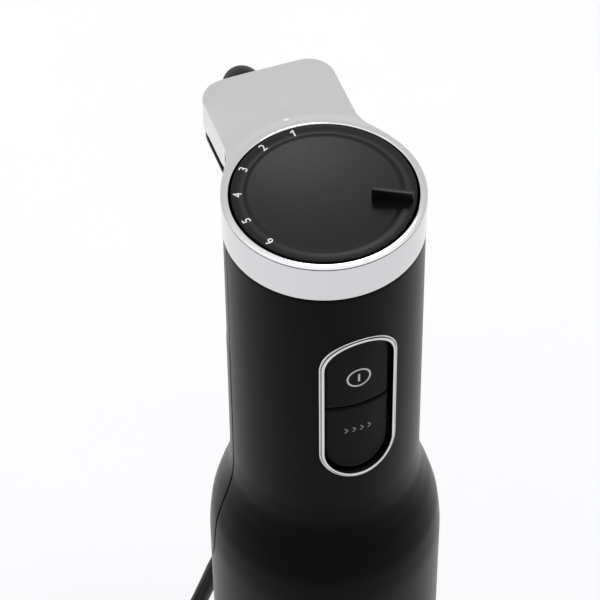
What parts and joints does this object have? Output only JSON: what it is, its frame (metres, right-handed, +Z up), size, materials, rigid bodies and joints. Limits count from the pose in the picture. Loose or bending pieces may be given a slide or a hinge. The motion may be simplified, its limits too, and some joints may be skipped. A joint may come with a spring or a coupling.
{
  "type": "immersion blender",
  "caption": "Corded hand-held immersion blender with a round speed dial in a chrome head, front buttons, waisted black grip and steel blending foot.",
  "frame": {"origin": "centre of the blender's own footprint, cord and plug left out, at the height of the bell guard's rim", "axes": "+Z up along the body, -Y to the front with the buttons, +X to the right seen from the front"},
  "size_m": [0.1246, 0.191, 0.4023],
  "materials": {
    "chrome": "polished chrome plate",
    "steel": "satin stainless steel",
    "brass": "plain brass",
    "copper": "enamelled copper wire",
    "aluminium": "cast",
    "iron": "laminated electrical steel",
    "soft_touch": "matte soft-touch coating",
    "satin_black": "satin moulded plastic",
    "inner_plastic": "moulded",
    "nylon": "natural nylon",
    "rubber": "matte flexible PVC",
    "carbon": "pressed carbon",
    "board": "glass-fibre laminate",
    "capacitor": "moulded case",
    "component": "moulded case"
  },
  "bodies": {
    "blending_foot": {"foot_collar": "satin_black", "shaft_tube": "steel", "bell_guard": "steel", "bush_upper": "brass", "bush_lower": "brass", "shaft_seal": "rubber", "cord_coil": "rubber", "cord_tail": "rubber", "plug_body": "rubber", "plug_pin_left": "brass", "plug_pin_right": "brass"},
    "blade_assembly": {"blade": "steel", "blade_nut": "steel", "blade_shaft": "steel", "driven_coupling": "nylon"},
    "motor_unit": {"front_shell": "soft_touch", "rear_shell": "soft_touch", "shell_screw": "steel", "head_trim": "chrome", "dial_seat": "inner_plastic", "speed_potentiometer": "component", "button_bezel": "chrome", "power_switch": "component", "power_button_spring": "steel", "turbo_switch": "component", "turbo_button_spring": "steel", "control_board": "board", "heat_sink": "aluminium", "suppression_capacitor": "capacitor", "choke": "copper", "cord_clamp": "nylon", "motor_bracket_lower": "aluminium", "motor_bracket_upper": "aluminium", "bearing_lower": "steel", "bearing_upper": "steel", "stator_core": "iron", "field_coil_front": "copper", "field_coil_rear": "copper", "brush_holder_left": "brass", "brush_holder_right": "brass", "carbon_brush_left": "carbon", "carbon_brush_right": "carbon", "foot_socket": "inner_plastic", "collar_ring": "chrome", "release_spring_left": "steel", "release_spring_right": "steel", "strain_relief": "rubber", "cord_run": "rubber"},
    "rotor": {"armature_core": "iron", "armature_winding": "copper", "commutator": "copper", "motor_shaft": "steel", "cooling_fan": "inner_plastic", "drive_coupling": "nylon"},
    "dial": {"speed_dial": "satin_black", "dial_shaft": "nylon"},
    "power_button": {"power_button": "satin_black"},
    "turbo_button": {"turbo_button": "satin_black"},
    "release_left": {"release_button_left": "soft_touch"},
    "release_right": {"release_button_right": "soft_touch"}
  },
  "joints": [
    {"name": "foot_release", "type": "slide", "parent": "blending_foot", "child": "motor_unit", "axis": [0, 0, 1], "range_m": [0, 0.05]},
    {"name": "motor_spin", "type": "hinge", "parent": "motor_unit", "child": "rotor", "pos_m": [0, -0.00935, 0.25], "axis": [0, 0, 1], "continuous": true},
    {"name": "blade_spin", "type": "hinge", "parent": "blending_foot", "child": "blade_assembly", "pos_m": [0, -0.00935, 0.1], "axis": [0, 0, 1], "continuous": true},
    {"name": "dial_turn", "type": "hinge", "parent": "motor_unit", "child": "dial", "pos_m": [0, -0.00935, 0.39], "axis": [0, 0, 1], "range_deg": [-120, 0]},
    {"name": "power_press", "type": "slide", "parent": "motor_unit", "child": "power_button", "axis": [0, 1, 0], "range_m": [0, 0.0015], "stiffness_N_per_m": 800, "springref_m": -0.002, "deforming": ["power_button_spring"]},
    {"name": "turbo_press", "type": "slide", "parent": "motor_unit", "child": "turbo_button", "axis": [0, 1, 0], "range_m": [0, 0.0015], "stiffness_N_per_m": 800, "springref_m": -0.002, "deforming": ["turbo_button_spring"]},
    {"name": "release_press_left", "type": "slide", "parent": "motor_unit", "child": "release_left", "axis": [1, 0, 0], "range_m": [0, 0.002], "stiffness_N_per_m": 1000, "springref_m": -0.002, "deforming": ["release_spring_left"]},
    {"name": "release_press_right", "type": "slide", "parent": "motor_unit", "child": "release_right", "axis": [-1, 0, 0], "range_m": [0, 0.002], "stiffness_N_per_m": 1000, "springref_m": -0.002, "deforming": ["release_spring_right"]}
  ],
  "couplings": [
    {"joint": "blade_spin", "follows": "motor_spin", "ratio": 1}
  ]
}
